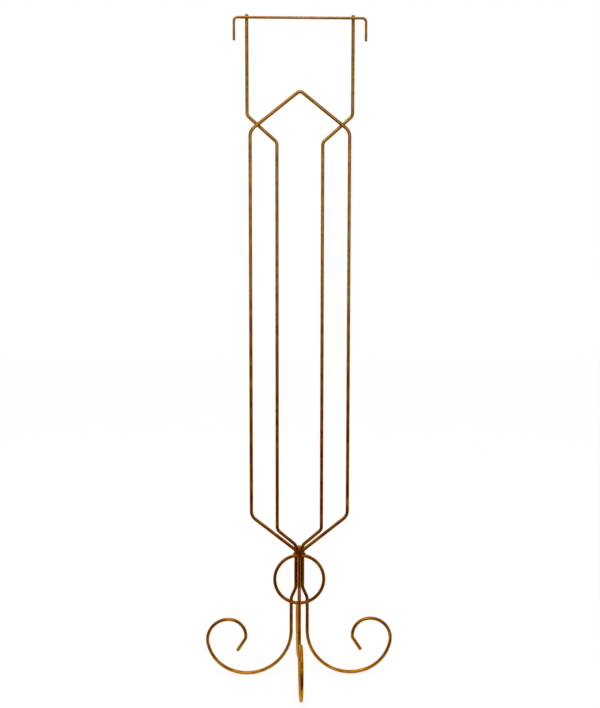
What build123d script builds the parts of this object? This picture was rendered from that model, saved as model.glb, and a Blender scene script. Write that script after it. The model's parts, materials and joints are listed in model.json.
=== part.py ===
"""Open wire display stand: bent round rods welded into one frame on four scroll legs.

Millimetres. +Z is up, the floor is Z = 0 and the stand's axis is the Z axis. The frame's flat
side lies along X and the front faces -Y. Centre lines are drawn flat, x outwards and y up, and
each is then stood up in the row or leg plane that its rod lies in.
"""

from math import asin, degrees, sqrt
import os

from build123d import *

# Rod stock
rod_diameter = 6.35
bar_rod_diameter = 4.76
rod_radius = rod_diameter / 2
bar_rod_radius = bar_rod_diameter / 2
end_chamfer = 0.5

# Rods that touch are a weld gap apart. They stand in two rows: the loop, the ring and the front
# leg's shank in front, the side rods and the back leg's shank behind.
weld_gap = 0.1
rod_pitch = rod_diameter + weld_gap
front_row = -rod_pitch / 2
back_row = rod_pitch / 2

# Head: the uprights' cut tops stand above the top bar, which crosses in front of them. The outer
# loop's shoulders slope down from its apex, and the side rods' jogs cross them.
overall_height = 1219.2
tops_above_bar = 6.4
bar_height = overall_height - tops_above_bar
bar_half_span = 117.6
bar_drop = 40.0
bar_bend_radius = 6.5
bar_row = back_row - rod_radius - weld_gap - bar_rod_radius
upright_offset = 95.0
waist_offset = 41.4
jog_drop = 47.2
jog_slope = jog_drop / (upright_offset - waist_offset)
loop_half_width = 89.5
apex_below_tops = 133.0
shoulder_drop = 70.8
shoulder_slope = shoulder_drop / loop_half_width
loop_apex_height = overall_height - apex_below_tops
loop_shoulder_height = loop_apex_height - shoulder_drop
cross_share = 0.848
cross_offset = cross_share * loop_half_width
cross_height = loop_apex_height - cross_share * shoulder_drop
upright_foot_height = cross_height + jog_slope * (upright_offset - cross_offset)
waist_top_height = upright_foot_height - jog_drop

# Ring, with its seam at the front leg's shank. It is welded across the side rods' shanks.
ring_radius = 46.1
ring_height = 187.7
ring_seam_angle = degrees(asin((rod_radius + weld_gap) / (ring_radius - rod_radius)))
ring_top_surface = ring_height + ring_radius + rod_radius
step_out = 8.75
ring_foot_offset = rod_pitch + step_out
ring_foot_height = ring_height - sqrt(ring_radius**2 - ring_foot_offset**2)

# Hub, stacked on the ring: the loop's ends, then the legs' cut tops, then the side rods fan out.
loop_end_length = 6.2
shank_stub = 13.5
hub_stub = 14.5
waist_flare = 29.3
loop_flare = 65.7
loop_end_height = ring_top_surface + weld_gap
loop_hub_height = loop_end_height + loop_end_length
loop_foot_height = loop_hub_height + loop_flare
shank_top_height = loop_end_height + shank_stub
hub_top_height = loop_end_height + hub_stub
waist_foot_height = hub_top_height + waist_flare

# Bends of the frame
side_bend_radius = 12.0
hub_bend_radius = 9.0
loop_apex_radius = 8.0
loop_shoulder_radius = 20.0
loop_hub_radius = 8.0

# Legs: a shank in the hub, a step outwards under the ring, then a scroll of tangent arcs and a
# straight tail. The back leg's scroll is curled tighter than the other three.
step_above_weld = 5.7
step_rise = 19.6
step_radius = 20.0
step_foot_height = ring_foot_height + step_above_weld
step_top_height = step_foot_height + step_rise
heel_radius = 82.9
heel_turn = 111.2
toe_radius = 72.2
toe_turn = 57.0
crown_radius = 38.9
crown_turn = 108.7
curl_radius = 32.7
curl_turn = 86.9
hook_radius = 8.0
hook_turn = 29.3
tail_length = 26.7
back_curl_ratio = 0.81
heel_start_height = rod_radius + heel_radius

# Weld beads
bead_leg = 1.1
cross_bead_radius = rod_radius + bead_leg
bar_bead_radius = bar_rod_radius
end_bead_radius = 2.2
valley_bead_radius = 1.6
valley_depth = 2.3
front_bead_length = 5.0
back_bead_length = 9.0
bead_end_radius = 1.2
stretch_length = 24.0


def standing(outwards, origin):
    """Plane that stands upright through origin, its local x pointing outwards and its y up."""
    direction = Vector(*outwards)
    return Plane(origin=origin, x_dir=direction, z_dir=direction.cross(Vector(0, 0, 1)))


def sweep_round(path, radius):
    """Sweep a round section along a centre line."""
    return sweep(Plane(origin=path @ 0, z_dir=path % 0) * Circle(radius), path=path)


def bend_rod(path, radius=rod_radius):
    """Bent round rod with its cut ends dressed by a small chamfer."""
    rod = sweep_round(path, radius)
    cut_ends = rod.faces().filter_by(GeomType.PLANE)
    return chamfer(cut_ends.edges(), end_chamfer)


def scroll(foot, curl_ratio):
    """Centre line of a scroll that starts downwards from foot."""
    heel = JernArc(foot, (0, -1), heel_radius, heel_turn)
    toe = JernArc(heel @ 1, heel % 1, toe_radius * curl_ratio, toe_turn)
    crown = JernArc(toe @ 1, toe % 1, crown_radius * curl_ratio, crown_turn)
    curl = JernArc(crown @ 1, crown % 1, curl_radius * curl_ratio, curl_turn)
    hook = JernArc(curl @ 1, curl % 1, hook_radius, hook_turn)
    tail = Line(hook @ 1, hook @ 1 + hook % 1 * tail_length)
    return [heel, toe, crown, curl, hook, tail]


def shank_points(hub_offset):
    """Corners of a shank's step from its hub line out to the top of the scroll."""
    foot_offset = hub_offset + step_out
    return [
        (hub_offset, step_top_height),
        (foot_offset, step_foot_height),
        (foot_offset, heel_start_height),
    ]


def leg_line(plane, curl_ratio):
    """Centre line of a separate scroll leg whose shank rises to the top of the hub."""
    shank = FilletPolyline((0, shank_top_height), *shank_points(0), radius=step_radius)
    return plane.from_local_coords(Wire(shank.edges() + scroll(shank @ 1, curl_ratio)))


def side_line(plane):
    """Centre line of an upright, waist, hub and scroll leg bent from one rod."""
    bends = [side_bend_radius, side_bend_radius, side_bend_radius, hub_bend_radius]
    frame = FilletPolyline(
        (upright_offset, overall_height),
        (upright_offset, upright_foot_height),
        (waist_offset, waist_top_height),
        (waist_offset, waist_foot_height),
        (rod_pitch, hub_top_height),
        *shank_points(rod_pitch),
        radius=bends + [step_radius, step_radius],
    )
    return plane.from_local_coords(Wire(frame.edges() + scroll(frame @ 1, 1)))


def stretch(point, direction=(0, 0, 1), radius=rod_radius, start=-stretch_length / 2):
    """Straight stretch of a rod through point, a weld gap larger all round."""
    rod = Cylinder(radius + weld_gap, stretch_length, align=(Align.CENTER, Align.CENTER, Align.MIN))
    return Plane(origin=point, z_dir=direction) * (Pos(0, 0, start) * rod)


def seated(bead, *stretches):
    """Weld bead cut back clear of the rods that it joins."""
    for rod in stretches:
        bead = bead - rod
    return bead


def ball(x, y, z, radius):
    """Round bead, its poles towards the two rows."""
    return Pos(x, y, z) * Rot(90, 0, 0) * Sphere(radius)


def valley_bead(side, y, z, length):
    """Upright bead in the valley between a shank and the rod beside it."""
    bead = Cylinder(valley_bead_radius, length)
    bead = fillet(bead.edges().filter_by(GeomType.CIRCLE), bead_end_radius)
    return Pos(side * rod_pitch / 2, y, z) * bead


back_plane = standing((1, 0, 0), (0, back_row, 0))
front_plane = standing((1, 0, 0), (0, front_row, 0))
bar_plane = standing((1, 0, 0), (0, bar_row, 0))

side_lines = {
    "left": side_line(standing((-1, 0, 0), (0, back_row, 0))),
    "right": side_line(back_plane),
}
leg_lines = {
    "front": leg_line(standing((0, -1, 0), (0, front_row, 0)), 1),
    "back": leg_line(standing((0, 1, 0), (0, back_row, 0)), back_curl_ratio),
}

loop_side = [
    (loop_half_width, loop_shoulder_height),
    (loop_half_width, loop_foot_height),
    (rod_pitch, loop_hub_height),
    (rod_pitch, loop_end_height),
]
loop_bends = [loop_shoulder_radius, loop_shoulder_radius, loop_hub_radius]
loop_line = front_plane.from_local_coords(
    FilletPolyline(
        *[(-x, z) for x, z in reversed(loop_side)],
        (0, loop_apex_height),
        *loop_side,
        radius=loop_bends[::-1] + [loop_apex_radius] + loop_bends,
    )
)
ring_line = front_plane.from_local_coords(
    CenterArc((0, ring_height), ring_radius, 90 + ring_seam_angle, 360 - 2 * ring_seam_angle)
)
bar_line = bar_plane.from_local_coords(
    FilletPolyline(
        (-bar_half_span, bar_height - bar_drop),
        (-bar_half_span, bar_height),
        (bar_half_span, bar_height),
        (bar_half_span, bar_height - bar_drop),
        radius=bar_bend_radius,
    )
)

parts = {
    "top_bar": bend_rod(bar_line, bar_rod_radius),
    "outer_loop": bend_rod(loop_line),
    "ring": sweep_round(ring_line, rod_radius),
}
for end, line in leg_lines.items():
    parts[f"leg_{end}"] = bend_rod(line)

# Where the beads lie
front_valley = front_row - valley_depth
back_valley = back_row + valley_depth
bar_corner = bar_row + bar_rod_radius / 2
front_bead_height = loop_end_height + front_bead_length / 2
back_bead_height = shank_top_height - back_bead_length

front_shank = stretch((0, front_row, ring_top_surface))
back_shank = stretch((0, back_row, back_bead_height))
hoop = front_plane * Pos(0, ring_height, 0) * Torus(ring_radius, rod_radius + weld_gap)
bar = stretch((0, bar_row, bar_height), (1, 0, 0), bar_rod_radius)

for side, hand in (("left", -1), ("right", 1)):
    upright_x = hand * upright_offset
    cross_x = hand * cross_offset
    hub_x = hand * rod_pitch
    foot_x = hand * ring_foot_offset
    side_shank = stretch((hub_x, back_row, back_bead_height))
    loop_end = stretch((hub_x, front_row, loop_end_height), start=0)

    parts[f"side_rod_{side}"] = bend_rod(side_lines[side])
    parts[f"weld_bar_{side}"] = seated(
        ball(upright_x, bar_corner, bar_height - bar_rod_radius, bar_bead_radius),
        stretch((upright_x, back_row, bar_height)),
        Pos(upright_x, 0, 0) * bar,
    )
    parts[f"weld_cross_{side}"] = seated(
        ball(cross_x, 0, cross_height, cross_bead_radius),
        stretch((cross_x, back_row, cross_height), (hand, 0, jog_slope)),
        stretch((cross_x, front_row, cross_height), (hand, 0, -shoulder_slope)),
    )
    parts[f"weld_hub_front_{side}"] = seated(
        valley_bead(hand, front_valley, front_bead_height, front_bead_length),
        front_shank,
        loop_end,
    )
    parts[f"weld_hub_back_{side}"] = seated(
        valley_bead(hand, back_valley, back_bead_height, back_bead_length),
        back_shank,
        side_shank,
    )
    parts[f"weld_loop_end_{side}"] = seated(
        ball(hub_x + hand * rod_radius, front_row, ring_top_surface, end_bead_radius),
        loop_end,
        hoop,
        side_shank,
    )
    parts[f"weld_ring_top_{side}"] = seated(
        ball(hub_x / 2, front_valley, ring_height + ring_radius, end_bead_radius),
        hoop,
        front_shank,
    )
    parts[f"weld_ring_foot_{side}"] = seated(
        ball(foot_x, 0, ring_foot_height, cross_bead_radius),
        hoop,
        stretch((foot_x, back_row, ring_foot_height)),
    )

os.makedirs("parts", exist_ok=True)
for name, solid in parts.items():
    export_step(solid, f"parts/{name}.step")
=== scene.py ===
# %% [markdown]
# # An open display stand of bent wire
#
# The real object is seven round steel rods, bent cold on a bending machine and welded where they
# touch. Nothing on it is flat or turned, so almost everything here comes from one idea: a ring of
# points that is fed forwards for a straight run and swung about a pivot for a bend. The packed
# model comes in first, as the frame that every piece has to agree with.

import json
from math import asin, ceil, cos, degrees, pi, radians, sin, sqrt, tan

import bmesh
import bpy
from mathutils import Matrix, Vector, noise

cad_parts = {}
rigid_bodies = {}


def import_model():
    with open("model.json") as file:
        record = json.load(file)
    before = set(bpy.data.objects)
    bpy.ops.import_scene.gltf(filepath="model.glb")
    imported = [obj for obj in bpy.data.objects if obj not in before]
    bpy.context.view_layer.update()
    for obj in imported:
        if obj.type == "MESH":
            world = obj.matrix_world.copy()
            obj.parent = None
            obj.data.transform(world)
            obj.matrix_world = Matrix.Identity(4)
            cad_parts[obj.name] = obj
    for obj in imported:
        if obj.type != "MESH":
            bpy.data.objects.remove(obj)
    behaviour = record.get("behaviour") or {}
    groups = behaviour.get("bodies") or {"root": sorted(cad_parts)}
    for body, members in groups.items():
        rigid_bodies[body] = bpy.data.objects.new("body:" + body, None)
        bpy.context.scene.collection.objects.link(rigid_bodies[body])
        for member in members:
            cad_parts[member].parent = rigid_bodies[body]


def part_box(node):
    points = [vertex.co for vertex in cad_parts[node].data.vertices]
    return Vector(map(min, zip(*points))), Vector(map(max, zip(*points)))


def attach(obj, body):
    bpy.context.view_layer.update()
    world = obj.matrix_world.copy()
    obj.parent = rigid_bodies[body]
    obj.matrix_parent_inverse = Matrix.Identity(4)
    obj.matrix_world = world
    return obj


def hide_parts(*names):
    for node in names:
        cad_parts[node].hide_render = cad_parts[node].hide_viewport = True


for leftover in list(bpy.data.objects):
    bpy.data.objects.remove(leftover)
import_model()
scene = bpy.context.scene
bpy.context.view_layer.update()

# %% [markdown]
# ## Sizes
#
# The stand is drawn in millimetres, because rod is sold that way, and MM turns a size into
# Blender's metres. The rods lie in two rows, one in front of the other, so that they can cross
# and be welded without being cut. The frame is of quarter-inch rod and the bar of three-sixteenths,
# and ROD and BAR_ROD are their radii. Heights are counted from the floor, and widths from the axis.

# %% Rods, rows and heights
MM = 0.001
ROD = 3.175
BAR_ROD = 2.38
WELD_GAP = 0.1
PITCH = 2 * ROD + WELD_GAP
FRONT_ROW = -PITCH / 2
BACK_ROW = PITCH / 2
BAR_ROW = BACK_ROW - ROD - WELD_GAP - BAR_ROD

TOP = 1219.2
BAR_BELOW_TOP, APEX_BELOW_TOP = 6.4, 133.0
BAR_HEIGHT = TOP - BAR_BELOW_TOP
APEX = TOP - APEX_BELOW_TOP
UPRIGHT = 95.0
WAIST = 41.4
LOOP_HALF = 89.5
print("rows at", FRONT_ROW, BAR_ROW, BACK_ROW, "apex", APEX)

# %% [markdown]
# The loop's shoulder and the side rod's jog cross, and are welded there. The crossing is placed as a
# share of the shoulder's slope, and the jog is then drawn through it, so the two can't miss.

# %% Where the shoulder and the jog cross
SHOULDER_DROP, JOG_DROP = 70.8, 47.2
CROSS_SHARE = 0.848
SHOULDER = APEX - SHOULDER_DROP
CROSS_X, CROSS_Z = CROSS_SHARE * LOOP_HALF, APEX - CROSS_SHARE * SHOULDER_DROP
UPRIGHT_FOOT = CROSS_Z + JOG_DROP / (UPRIGHT - WAIST) * (UPRIGHT - CROSS_X)
print("crossing at", round(CROSS_X, 2), round(CROSS_Z, 2), "upright ends at", round(UPRIGHT_FOOT, 2))

# %% [markdown]
# The ring sets every height in the hub. The loop's cut ends stand on it, the cut tops of the two
# single legs rise a little above them, and the side rods step out where they meet its lower half.

# %% Ring and hub
RING = 46.1
RING_HEIGHT = 187.7
RING_TOP = RING_HEIGHT + RING + ROD
LOOP_END = RING_TOP + WELD_GAP
SHANK_STUB, HUB_STUB = 13.5, 14.5
SHANK_TOP = LOOP_END + SHANK_STUB
HUB_TOP = LOOP_END + HUB_STUB

STEP_OUT = 8.75
STEP_ABOVE_WELD, STEP_RISE = 5.7, 19.6
RING_FOOT = RING_HEIGHT - sqrt(RING**2 - (PITCH + STEP_OUT) ** 2)
STEP_FOOT = RING_FOOT + STEP_ABOVE_WELD
print("ring top", round(RING_TOP, 2), "shanks end at", round(SHANK_TOP, 2), "step at", round(STEP_FOOT, 2))

# %% [markdown]
# ## The bending machine
#
# A curve object with a round bevel could draw a rod in one go, but its cut ends would be sharp
# and its surface would carry no measure of its own length. Here a ring of points is moved by the
# Spin operator instead: with no angle it feeds the rod straight on, and with a pivot and an
# angle it bends it. Each ring remembers how far along the rod it lies, and that becomes the
# surface's own map, on which the drawing marks of the wire can run lengthways.

# %% One ring at a time
RING_POINTS = 28
FEED = 9.0
SWING = 4.0
DRESSING = 0.5
DRESSED_EDGE = ((0.3, 0.65), (0.7, 0.3), (1.0, 0.05))


class Bender:
    """A rod on the machine: where its front end is, where it points and how far it has come."""

    def __init__(self, at, heading, pivot_axis, radius, dressing=DRESSING):
        """Start a rod at a dressed cut end, pointing along heading."""
        self.bm = bmesh.new()
        self.along = self.bm.verts.layers.float.new("along")
        self.station = self.bm.verts.layers.int.new("station")
        self.axis, self.radius, self.fed = Vector(pivot_axis), radius, 0.0
        forwards = Vector(heading)
        shoulder = Vector(at) + forwards * dressing
        turned = Matrix((self.axis.cross(forwards), self.axis, forwards)).transposed().to_4x4()
        placed = Matrix.Translation(shoulder) @ turned
        made = bmesh.ops.create_circle(
            self.bm, cap_ends=False, radius=radius, segments=RING_POINTS, matrix=placed
        )
        for index, vert in enumerate(made["verts"]):
            vert[self.station] = index
        self.front = shoulder_ring = list(self.bm.edges)
        self.at, self.heading = shoulder, -forwards
        self.cut(dressing)
        self.at, self.heading, self.front, self.fed = shoulder, forwards, shoulder_ring, 0.0

    def step(self, pivot, angle, forwards, length):
        """Move the front ring once, leaving a band of faces behind it."""
        swept = bmesh.ops.spin(
            self.bm, geom=self.front, cent=pivot, axis=self.axis, dvec=forwards, angle=angle, steps=1
        )
        self.fed += length
        self.front = [g for g in swept["geom_last"] if isinstance(g, bmesh.types.BMEdge)]
        for vert in self.ring():
            vert[self.along] = self.fed

    def ring(self):
        """The points of the front ring."""
        return {vert for edge in self.front for vert in edge.verts}

    def run(self, length):
        """Feed a straight run."""
        steps = max(1, ceil(length / FEED))
        for _ in range(steps):
            self.step(self.at, 0, self.heading * length / steps, length / steps)
        self.at = self.at + self.heading * length

    def bend(self, radius, turn):
        """Bend to the left of the heading, or to the right where the turn is negative."""
        steps = max(2, ceil(abs(turn) / SWING))
        side = 1 if turn > 0 else -1
        pivot = self.at + self.axis.cross(self.heading) * radius * side
        angle = radians(turn) / steps
        for _ in range(steps):
            self.step(pivot, angle, (0, 0, 0), abs(angle) * radius)
        turned = Matrix.Rotation(radians(turn), 3, self.axis)
        self.at = pivot + turned @ (self.at - pivot)
        self.heading = turned @ self.heading

    def cut(self, dressing=DRESSING):
        """Round off the cut end in steps of how far in and how much further on, and close it."""
        for share, depth in DRESSED_EDGE:
            self.step(self.at, 0, self.heading * dressing * depth, dressing * depth)
            self.at = self.at + self.heading * dressing * depth
            for vert in self.ring():
                outwards = (vert.co - self.at).normalized()
                vert.co = self.at + outwards * (self.radius - dressing * share)
        bmesh.ops.holes_fill(self.bm, edges=self.front, sides=RING_POINTS)


# %% [markdown]
# A route is what the maker's drawing gives: the corners of the centre line and a radius for each.
# The machine needs it as feeds and bends, so every corner gives up one tangent length on either
# side of its bend.

# %% From corners to feeds and bends
def follow(rod, corners, radii):
    """Drive the rod along a flat route from where it is, leaving room for the last cut."""
    runs, turns = [], []
    for start, end in zip(corners, corners[1:]):
        runs.append(Vector(end) - Vector(start))
    lengths = [run.length for run in runs]
    lengths[0] -= DRESSING
    for index, radius in enumerate(radii):
        turns.append(-runs[index].angle_signed(runs[index + 1]))
        tangent = radius * abs(tan(turns[index] / 2))
        lengths[index] -= tangent
        lengths[index + 1] -= tangent
    for length, radius, turn in zip(lengths, radii, turns):
        rod.run(length)
        rod.bend(radius, degrees(turn))
    return lengths[-1]


trial = Bender((0, 0, 10), (0, 0, -1), (0, -1, 0), 1)
trial.run(follow(trial, [(0, 10), (0, 0), (10, 0)], [3]))
print("trial bend ends at", trial.at[:], "heading", trial.heading[:])
trial.bm.free()

# %% [markdown]
# A finished mesh becomes an object that rides on the frame, hides the node it stands in for and says
# what it is made of. A rod is given its map first, from what each of its points remembers.

# %% Turn a finished rod into a piece
SHARP_EDGE = radians(50)


def new_object(name, data):
    """An object in the scene, with its data."""
    made = bpy.data.objects.new(name, data)
    scene.collection.objects.link(made)
    return made


def mesh_object(name, bm):
    """An object of a finished mesh."""
    mesh = bpy.data.meshes.new(name)
    bm.to_mesh(mesh)
    bm.free()
    return new_object(name, mesh)


def piece(name, bm, node, material):
    """Make an object of a finished mesh drawn in millimetres, riding on the frame."""
    bmesh.ops.scale(bm, vec=(MM, MM, MM), verts=bm.verts)
    bmesh.ops.recalc_face_normals(bm, faces=bm.faces)
    for face in bm.faces:
        face.smooth = True
    made = mesh_object(name, bm)
    made.data.set_sharp_from_angle(angle=SHARP_EDGE)
    made.data.materials.append(material)
    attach(made, "root")
    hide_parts(node)
    print(name, "faces", len(made.data.polygons), "size mm", [round(v / MM) for v in made.dimensions])


def rod_piece(name, rod, node, material):
    """Give a rod its map, once round as 0 to 1 and along it in metres, and make it a piece."""
    flat = rod.bm.loops.layers.uv.new("Rod")
    for face in rod.bm.faces:
        seam = {RING_POINTS - 1, 0} <= {vert[rod.station] for vert in face.verts}
        for loop in face.loops:
            index = loop.vert[rod.station]
            if seam and index == 0:
                index = RING_POINTS
            loop[flat].uv = (index / RING_POINTS, loop.vert[rod.along] * MM)
    piece(name, rod.bm, node, material)


# %% [markdown]
# ## The finish
#
# The stand wears an aged copper coating: a red-brown ground with a gold rub over it, thin greenish
# bloom in patches and a soft gloss. The ground is painted darker towards the floor, as painted shade
# on the lower rods, and gold is painted on the feet as painted light from above. One recipe serves all
# the steel, because the real one was coated after it was welded. Its sums are written as Python, so a
# small class lets a socket take part in them.

# %% Sums on sockets
class Level:
    """A socket that can be added, multiplied and taken away like a number."""

    def __init__(self, paint, socket):
        self.paint, self.socket = paint, socket

    def work_out(self, operation, first, second):
        """One sum, whose result can take part in the next."""
        node = self.paint.node("ShaderNodeMath", {0: first, 1: second}, operation=operation)
        return self.paint.level(node, "Value")

    def __add__(self, other):
        return self.work_out("ADD", self, other)

    def __sub__(self, other):
        return self.work_out("SUBTRACT", self, other)

    def __rsub__(self, other):
        return self.work_out("SUBTRACT", other, self)

    def __mul__(self, other):
        return self.work_out("MULTIPLY", self, other)

    __radd__ = __add__
    __rmul__ = __mul__


class Paint:
    """A node tree under construction."""

    def __init__(self, tree):
        self.tree = tree
        tree.nodes.clear()

    def node(self, kind, values=(), **settings):
        """Make a node, set it up, then fill its sockets with values or links."""
        made = self.tree.nodes.new(kind)
        for key, value in settings.items():
            setattr(made, key, value)
        for socket, value in dict(values).items():
            if isinstance(value, Level):
                self.tree.links.new(value.socket, made.inputs[socket])
            else:
                made.inputs[socket].default_value = value
        return made

    def level(self, node, output):
        """A node's output, ready for sums."""
        return Level(self, node.outputs[output])

    def noise(self, vector, scale, detail=2.0, roughness=0.5, low=0.35, high=0.65):
        """Noise stretched so that low to high fills 0 to 1."""
        made = self.node(
            "ShaderNodeTexNoise",
            {"Vector": vector, "Scale": scale, "Detail": detail, "Roughness": roughness},
        )
        return self.spread(self.level(made, "Fac"), low, high)

    def spread(self, value, low, high):
        """Stretch a level smoothly, so that low to high fills 0 to 1."""
        made = self.node(
            "ShaderNodeMapRange",
            {"Value": value, "From Min": low, "From Max": high},
            interpolation_type="SMOOTHSTEP",
        )
        return self.level(made, "Result")

    def mix(self, factor, first, second):
        """Mix two colours."""
        made = self.node("ShaderNodeMix", {0: factor, 6: first, 7: second}, data_type="RGBA")
        return Level(self, made.outputs[2])


# %% [markdown]
# Colours are written as the eye names them, in the 0 to 255 that a colour picker shows, and
# turned into the linear values that light works in.

# %% Colours of the finish
def linear(red, green, blue):
    """A picked colour as Blender's linear RGBA, by the sRGB curve."""
    channels = [c / 255 for c in (red, green, blue)]
    return (*[c / 12.92 if c <= 0.04045 else ((c + 0.055) / 1.055) ** 2.4 for c in channels], 1.0)


COPPER = linear(136, 82, 14)
UMBER = linear(134, 54, 3)
GOLD = linear(200, 140, 24)
BLOOM = linear(146, 136, 84)
SOOT = linear(48, 8, 1)
RIM_GOLD = (1.0, 0.76, 0.25, 1.0)

# %% [markdown]
# The masks come first. Copper takes over from umber with height, which is painted shade darkening
# the lower rods, and gold is painted in near the floor as painted light on the feet. Blotches, grains
# and patches of bloom lie in space, so that they cross from rod to weld. The drawing marks lie on the
# rod's own map, rolled up into a tube so that they meet at its seam, and drawn out along it.

# %% The aged copper recipe
# The second pair of heights is where the painted light on the feet fades out going up.
COPPER_HEIGHTS, FEET_LIGHT_HEIGHTS = (0.35, 0.95), (0.17, 0.03)
BLOTCH_SCALE, GRAIN_SCALE, PATCH_SCALE = 48.0, 620.0, 26.0
MARK_SCALE, DRAWN_OUT = 5.0, 12.0
RELIEF = 0.0002


def aged_copper(name, mottling, soot):
    """The coating, with more or less mottling, and soot where a weld has burnt it."""
    material = bpy.data.materials.new(name)
    material.use_nodes = True
    paint = Paint(material.node_tree)
    place = paint.node("ShaderNodeTexCoord")
    here = paint.level(place, "Object")
    height = paint.level(paint.node("ShaderNodeSeparateXYZ", {"Vector": here}), "Z")

    rod_map = paint.node("ShaderNodeUVMap", uv_map="Rod")
    turns = paint.node("ShaderNodeSeparateXYZ", {"Vector": paint.level(rod_map, "UV")})
    circle = paint.level(turns, "X") * (2 * pi)
    east = paint.level(paint.node("ShaderNodeMath", {0: circle}, operation="COSINE"), "Value")
    north = paint.level(paint.node("ShaderNodeMath", {0: circle}, operation="SINE"), "Value")
    drawn = paint.level(turns, "Y") * DRAWN_OUT
    rolled = paint.node("ShaderNodeCombineXYZ", {"X": east, "Y": north, "Z": drawn})
    drawing_marks = paint.noise(paint.level(rolled, "Vector"), MARK_SCALE, detail=3.0, roughness=0.6)

    upper = paint.spread(height, *COPPER_HEIGHTS)
    # Painted light: a mask that brightens the feet near the floor with gold.
    feet_painted_light = paint.spread(height, *FEET_LIGHT_HEIGHTS)
    blotches = paint.noise(here, BLOTCH_SCALE, detail=3.0)
    grains = paint.noise(here, GRAIN_SCALE, roughness=0.6)
    patches = paint.noise(here, PATCH_SCALE, detail=4.0, roughness=0.6, low=0.56, high=0.72)

    # Painted shade: the ground runs from umber low down to copper higher up, so the lower rods read
    # darker.
    shaded_ground = paint.mix(upper, UMBER, COPPER)
    # Gold rub from blotches and grains, plus gold painted on the feet as painted light.
    gold_rub_and_feet_light = paint.mix(blotches * 0.4 * mottling + grains * 0.2 + feet_painted_light * 0.3, shaded_ground, GOLD)
    bloomed = paint.mix(patches * (upper * 0.5 + 0.1) * mottling, gold_rub_and_feet_light, BLOOM)
    burnt = paint.mix((1 - drawing_marks) * 0.18 + soot, bloomed, SOOT)

    roughness = 0.15 + blotches * 0.08 + patches * 0.24 + grains * 0.05
    relief = drawing_marks * 0.5 + grains * 0.5
    bump = paint.node("ShaderNodeBump", {"Height": relief, "Strength": 0.25, "Distance": RELIEF})
    shader = paint.node(
        "ShaderNodeBsdfPrincipled",
        {
            "Base Color": burnt,
            "Metallic": 0.93 - patches * 0.35,
            "Roughness": roughness,
            "Normal": paint.level(bump, "Normal"),
            "Specular Tint": RIM_GOLD,
            "Coat Weight": upper * 0.4,
            "Coat Roughness": 0.2,
        },
    )
    paint.node("ShaderNodeOutputMaterial", {"Surface": paint.level(shader, "BSDF")})
    print(name, "nodes", len(material.node_tree.nodes))
    return material


rod_finish = aged_copper("aged_copper", mottling=1.0, soot=0.0)
weld_finish = aged_copper("aged_copper_weld", mottling=0.6, soot=0.25)

# %% [markdown]
# ## The side rods
#
# Each side rod is one length of steel. It starts as the upright, jogs in under the loop's
# shoulder, runs down the waist, comes in to the hub, steps out and rolls up into the scroll foot.
# The left one is bent about the opposite axis, which mirrors it.

# %% Feet and steps
UP = Vector((0, 0, 1))
# each bend of the scroll is a radius and a turn in degrees
HEEL = (82.9, 111.2)
BELLY = (72.2, 57.0)
CURL = (38.9, 108.7)
EYE_OF_CURL = (32.7, 86.9)
HOOK = (8.0, 29.3)
TAIL = 26.7


def step_points(hub):
    """The step from the hub's line out to the top of the scroll."""
    top_of_heel = ROD + HEEL[0]
    return [(hub, STEP_FOOT + STEP_RISE), (hub + STEP_OUT, STEP_FOOT), (hub + STEP_OUT, top_of_heel)]


def roll_scroll(rod, curl):
    """Roll the scroll foot: four arcs that tighten, a hook and a straight tail."""
    rod.bend(*HEEL)
    for radius, turn in (BELLY, CURL, EYE_OF_CURL):
        rod.bend(radius * curl, turn)
    rod.bend(*HOOK)
    rod.run(TAIL - DRESSING)
    rod.cut()


def hang(outwards, row, corners):
    """Start a rod downwards at its first corner, its plane standing along outwards."""
    out = Vector(outwards)
    offset, height = corners[0]
    base = Vector((0, row, height)) + out * offset
    return Bender(base, -UP, out.cross(UP), ROD)


# %% Side rods
JOG_BEND, HUB_BEND, STEP_BEND = 12, 9, 20
WAIST_FLARE = 29.3

for name, hand in (("left", -1), ("right", 1)):
    corners = [
        (UPRIGHT, TOP),
        (UPRIGHT, UPRIGHT_FOOT),
        (WAIST, UPRIGHT_FOOT - JOG_DROP),
        (WAIST, HUB_TOP + WAIST_FLARE),
        (PITCH, HUB_TOP),
        *step_points(PITCH),
    ]
    rod = hang((hand, 0, 0), BACK_ROW, corners)
    rod.run(follow(rod, corners, [JOG_BEND] * 3 + [HUB_BEND] + [STEP_BEND] * 2))
    roll_scroll(rod, 1)
    rod_piece(f"side_rod_{name}_steel", rod, f"side_rod_{name}", rod_finish)

# %% Measure one against the frame
steel = [vert.co / MM for vert in bpy.data.objects["side_rod_right_steel"].data.vertices]
for axis, letter in enumerate("XYZ"):
    low, high = [corner[axis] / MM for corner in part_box("side_rod_right")]
    own = [co[axis] for co in steel]
    print(letter, "frame %.2f to %.2f, piece %.2f to %.2f" % (low, high, min(own), max(own)))

# %% [markdown]
# ## The front and back legs
#
# These two are separate rods. Their cut tops stand in the hub between the others, and only their
# plane is turned: the front one lies along -Y and the back one along +Y, curled a little tighter.

# %% Front and back legs
BACK_CURL = 0.81

for name, way, row, curl in (("front", -1, FRONT_ROW, 1), ("back", 1, BACK_ROW, BACK_CURL)):
    corners = [(0, SHANK_TOP), *step_points(0)]
    rod = hang((0, way, 0), row, corners)
    rod.run(follow(rod, corners, [STEP_BEND] * 2))
    roll_scroll(rod, curl)
    rod_piece(f"leg_{name}_steel", rod, f"leg_{name}", rod_finish)

# %% [markdown]
# ## The outer loop, the ring and the top bar
#
# The loop is one rod again, with both cut ends standing on the ring. It is fed up the left side,
# over the apex and down the right. The ring is a single long bend whose ends butt against the
# front leg's shank, and the bar is thinner rod with both ends turned down.

# %% Outer loop
FACING = (0, -1, 0)
END_LENGTH, LOOP_FLARE = 6.2, 65.7
END_BEND, LOOP_BEND, APEX_BEND = 8, 20, 8

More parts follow.
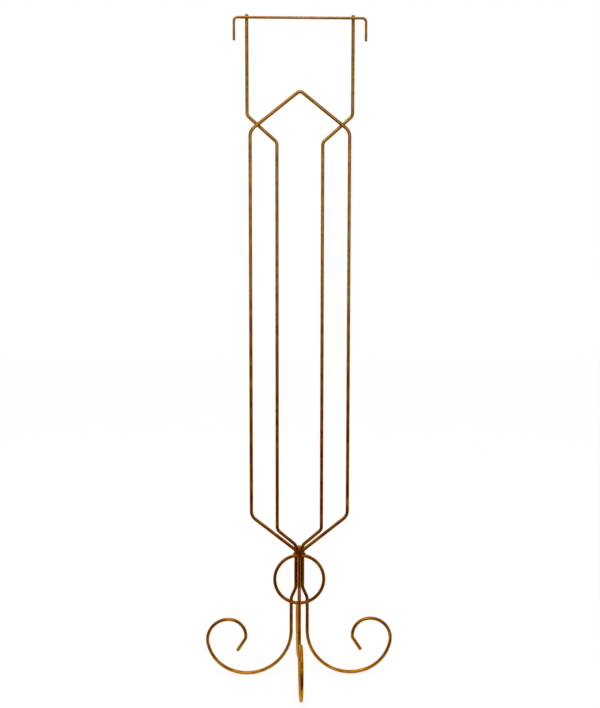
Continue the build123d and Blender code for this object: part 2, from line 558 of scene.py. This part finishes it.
bend_height = LOOP_END + END_LENGTH
half = [
    (LOOP_HALF, SHOULDER),
    (LOOP_HALF, bend_height + LOOP_FLARE),
    (PITCH, bend_height),
    (PITCH, LOOP_END),
]
route = [(-x, z) for x, z in reversed(half)] + [(0, APEX)] + half
bends = [END_BEND, LOOP_BEND, LOOP_BEND, APEX_BEND, LOOP_BEND, LOOP_BEND, END_BEND]
rod = Bender((-PITCH, FRONT_ROW, LOOP_END), UP, FACING, ROD)
rod.run(follow(rod, route, bends) - DRESSING)
rod.cut()
rod_piece("outer_loop_steel", rod, "outer_loop", rod_finish)

# %% Ring
RING_DRESSING = 0.15

seam = asin((ROD + WELD_GAP) / (RING - ROD))
start = Vector((-RING * sin(seam), FRONT_ROW, RING_HEIGHT + RING * cos(seam)))
rod = Bender(start, (-cos(seam), 0, -sin(seam)), FACING, ROD, RING_DRESSING)
rod.bend(RING, 360 - 2 * degrees(seam))
rod.cut(RING_DRESSING)
rod_piece("ring_steel", rod, "ring", rod_finish)

# %% Top bar
BAR_HALF, BAR_DROP, BAR_BEND = 117.6, 40.0, 6.5
BAR_TIP = BAR_HEIGHT - BAR_DROP

route = [(-BAR_HALF, BAR_TIP), (-BAR_HALF, BAR_HEIGHT), (BAR_HALF, BAR_HEIGHT), (BAR_HALF, BAR_TIP)]
rod = Bender((-BAR_HALF, BAR_ROW, BAR_TIP), UP, FACING, BAR_ROD)
rod.run(follow(rod, route, [BAR_BEND] * 2) - DRESSING)
rod.cut()
rod_piece("top_bar_steel", rod, "top_bar", rod_finish)

# %% [markdown]
# ## The welds
#
# A tack weld is a small dome of melted wire that has run into the corners between two rods. A ball
# between the rods shows exactly those corners, and a little noise on its points takes the
# roundness off. The hub's longer beads were laid upwards in small steps, so a ring of points is
# fed up the valley between two shanks and swells and shrinks with every step.

# %% Tack welds
BEAD_LEG = 1.1
CROSS_BEAD = ROD + BEAD_LEG
SMALL_BEAD = 2.2
VALLEY = 2.3
LUMP_SCALE, LUMP = 2.2, 0.07
SPATTER_SCALE, SPATTER = 7.0, 0.02
SINK = 0.05


def tack(name, centre, radius, seed):
    """A lumpy dome at a corner between rods. It has no length, so its map stays at zero."""
    bm = bmesh.new()
    bm.loops.layers.uv.new("Rod")
    placed = Matrix.Translation(centre)
    bmesh.ops.create_icosphere(bm, subdivisions=4, radius=radius, matrix=placed)
    for vert in bm.verts:
        outwards = (vert.co - Vector(centre)).normalized()
        lumps = noise.noise(outwards * LUMP_SCALE + Vector((seed, 0, 0)))
        spatter = noise.noise(outwards * SPATTER_SCALE + Vector((0, seed, 0)))
        vert.co += outwards * radius * (LUMP * lumps + SPATTER * spatter - SINK)
    piece(name + "_metal", bm, name, weld_finish)


for side, hand in (("left", -1), ("right", 1)):
    shank = hand * PITCH
    side_leg = hand * (PITCH + STEP_OUT)
    under_bar = (hand * UPRIGHT, BAR_ROW + BAR_ROD / 2, BAR_HEIGHT - BAR_ROD)
    tack(f"weld_bar_{side}", under_bar, BAR_ROD, seed=3 * hand)
    tack(f"weld_cross_{side}", (hand * CROSS_X, 0, CROSS_Z), CROSS_BEAD, seed=5 * hand)
    tack(f"weld_ring_foot_{side}", (side_leg, 0, RING_FOOT), CROSS_BEAD, seed=7 * hand)
    loop_end = (shank + hand * ROD, FRONT_ROW, RING_TOP)
    tack(f"weld_loop_end_{side}", loop_end, SMALL_BEAD, seed=11 * hand)
    ring_end = (shank / 2, FRONT_ROW - VALLEY, RING_HEIGHT + RING)
    tack(f"weld_ring_top_{side}", ring_end, SMALL_BEAD, seed=13 * hand)

# %% Laid beads in the hub
LAID_BEAD = 1.6
BEAD_TIP, BEAD_DRESSING = 0.5, 0.3
SLICES = 6
NARROWEST, RIPPLE, THIN_END = 0.93, 0.07, 0.1
FRONT_BEAD, BACK_BEAD = 5, 9


def laid_bead(name, x, y, middle, length, ripples):
    """An upright bead in the valley between two shanks, rippled by its steps."""
    bead = Bender((x, y, middle - length / 2), UP, FACING, BEAD_TIP, BEAD_DRESSING)
    slices = ripples * SLICES
    rise = (length - 2 * BEAD_DRESSING) / slices
    for index in range(slices):
        share = (index + 0.5) / slices
        bead.step(bead.at, 0, UP * rise, length / slices)
        bead.at = bead.at + UP * rise
        swell = LAID_BEAD * sqrt(max(THIN_END, 1 - (2 * share - 1) ** 4))
        swell *= NARROWEST + RIPPLE * abs(sin(pi * share * ripples))
        for vert in bead.ring():
            vert.co = bead.at + (vert.co - bead.at).normalized() * swell
    bead.radius = swell
    bead.cut(BEAD_DRESSING)
    rod_piece(name + "_metal", bead, name, weld_finish)


for side, hand in (("left", -1), ("right", 1)):
    between = hand * PITCH / 2
    in_front, behind = FRONT_ROW - VALLEY, BACK_ROW + VALLEY
    front_middle, back_middle = LOOP_END + FRONT_BEAD / 2, SHANK_TOP - BACK_BEAD
    laid_bead(f"weld_hub_front_{side}", between, in_front, front_middle, FRONT_BEAD, ripples=4)
    laid_bead(f"weld_hub_back_{side}", between, behind, back_middle, BACK_BEAD, ripples=7)

# %% [markdown]
# ## The camera
#
# The photograph was taken from a little above the middle, almost square on. The eye stands where
# the rods' foreshortening puts it, and the lens gives the same size at that distance.

# %% Camera
EYE = Vector((-0.0459, -1.7066, 0.7754))
AZIMUTH, PITCH_DOWN, ROLL = radians(1.565), radians(5.45), radians(0.083)
FOCAL_PIXELS, FRAME_PIXELS, SENSOR = 932.0, 708.0, 36.0

camera = new_object("camera", bpy.data.cameras.new("camera"))
camera.data.sensor_width = SENSOR
camera.data.lens = SENSOR * FOCAL_PIXELS / FRAME_PIXELS
camera.data.clip_start, camera.data.clip_end = 0.01, 100.0
looking = Vector((sin(AZIMUTH) * cos(PITCH_DOWN), cos(AZIMUTH) * cos(PITCH_DOWN), -sin(PITCH_DOWN)))
across = Vector((cos(AZIMUTH), -sin(AZIMUTH), 0))
upwards = across.cross(looking)
level_view = Matrix((across, upwards, -looking)).transposed().to_4x4()
camera.matrix_world = Matrix.Translation(EYE) @ level_view @ Matrix.Rotation(ROLL, 4, "Z")
scene.camera = camera
print("lens", round(camera.data.lens, 2), "mm, eye", [round(v, 3) for v in EYE])

# %% [markdown]
# ## The studio
#
# Round metal shows the room. Its rims mirror the white backdrop on either side and its tops the
# white ceiling. In the photograph the fronts of the rods are dark below the height of the lens, and
# so is the lower half of every sloping rod: both look towards the floor in front, where the white
# paper has ended. Above the lens they show a pale line between browner flanks, which is a tall
# light in front of a duller wall. So a dark fan lies in front of the stand and a grey wall stands
# beyond it, and only reflections see them.

# %% White room and floor
WHITE, PAPER = (1, 1, 1, 1), (0.95, 0.95, 0.95, 1)
SELF_LIT = 0.8
FLOOR_HALF = 6.0

scene.view_settings.view_transform = "Standard"
world = bpy.data.worlds.new("studio")
scene.world = world
world.use_nodes = True
sky = Paint(world.node_tree)
white = sky.node("ShaderNodeBackground", {"Color": WHITE, "Strength": 1.0})
sky.node("ShaderNodeOutputWorld", {"Surface": sky.level(white, "Background")})


def prop(name, bm, shader_of):
    """Part of the studio, not of the object, with a plain material."""
    made = mesh_object(name, bm)
    material = bpy.data.materials.new(name)
    material.use_nodes = True
    paint = Paint(material.node_tree)
    paint.node("ShaderNodeOutputMaterial", {"Surface": shader_of(paint)})
    made.data.materials.append(material)
    print(name, "faces", len(made.data.polygons))
    return made


def floor_paper(paint):
    """White paper that takes the stand's shadow and looks white to the eye and in the metal."""
    rays = paint.node("ShaderNodeLightPath")
    matt = paint.node("ShaderNodeBsdfDiffuse", {"Color": PAPER})
    bright = paint.node("ShaderNodeEmission", {"Color": WHITE, "Strength": 1.0})
    seen = paint.level(rays, "Is Camera Ray") + paint.level(rays, "Is Glossy Ray")
    laid = paint.node(
        "ShaderNodeMixShader",
        {0: seen * SELF_LIT, 1: paint.level(matt, "BSDF"), 2: paint.level(bright, "Emission")},
    )
    return paint.level(laid, "Shader")


sheet = bmesh.new()
bmesh.ops.create_grid(sheet, x_segments=1, y_segments=1, size=FLOOR_HALF)
prop("floor", sheet, floor_paper)

# %% Dark floor and grey wall in front
PAPER_EDGE, FLOOR_END, WALL_HEIGHT = 0.18, 4.0, 4.0
HALF_FAN, FAN_STEPS = radians(72), 40
FLOOR_GREY, WALL_GREY = 0.09, 0.4


def grey(strength):
    """A flat grey, the same wherever it is seen from."""

    def shader(paint):
        return paint.level(paint.node("ShaderNodeEmission", {"Strength": strength}), "Emission")

    return shader


def front_sheet(name, start, stretch, strength):
    """A sheet bent round the front of the stand, for reflections alone."""
    sheet = bmesh.new()
    corner = bmesh.ops.create_vert(sheet, co=start)
    bmesh.ops.spin(sheet, geom=corner["vert"], dvec=stretch, angle=0, steps=1)
    bmesh.ops.spin(sheet, geom=sheet.edges[:], axis=UP, angle=2 * HALF_FAN, steps=FAN_STEPS)
    made = prop(name, sheet, grey(strength))
    made.visible_camera = made.visible_diffuse = made.visible_shadow = False
    made.visible_transmission = made.visible_volume_scatter = False


leftmost = Vector((-sin(HALF_FAN), -cos(HALF_FAN), 0))
paper_edge = leftmost * PAPER_EDGE + UP * MM
front_sheet("dark_floor", paper_edge, leftmost * (FLOOR_END - PAPER_EDGE), FLOOR_GREY)
front_sheet("grey_wall", leftmost * FLOOR_END, UP * WALL_HEIGHT, WALL_GREY)

# %% [markdown]
# Two soft lamps stand in the white room. The one overhead brightens the tops of the scrolls and of
# the shoulders. The tall one stands behind the camera, before the grey wall, and draws the pale line
# down the fronts of the rods above the lens.

# %% Lamps
def lamp(name, watts, width, height, at, towards):
    """A soft lamp with a flat face."""
    light = bpy.data.lights.new(name, "AREA")
    light.shape = "RECTANGLE"
    light.energy, light.size, light.size_y = watts, width, height
    made = new_object(name, light)
    made.location = at
    made.rotation_euler = (Vector(towards) - Vector(at)).to_track_quat("-Z", "Y").to_euler()
    print(name, watts, "W at", at)


lamp("overhead", 12.0, width=1.2, height=1.2, at=(-0.5, -0.9, 2.7), towards=(0, 0, 0.5))
lamp("front", 12.0, width=0.6, height=1.6, at=(0.15, -3.0, 1.4), towards=(0, 0, 1.1))
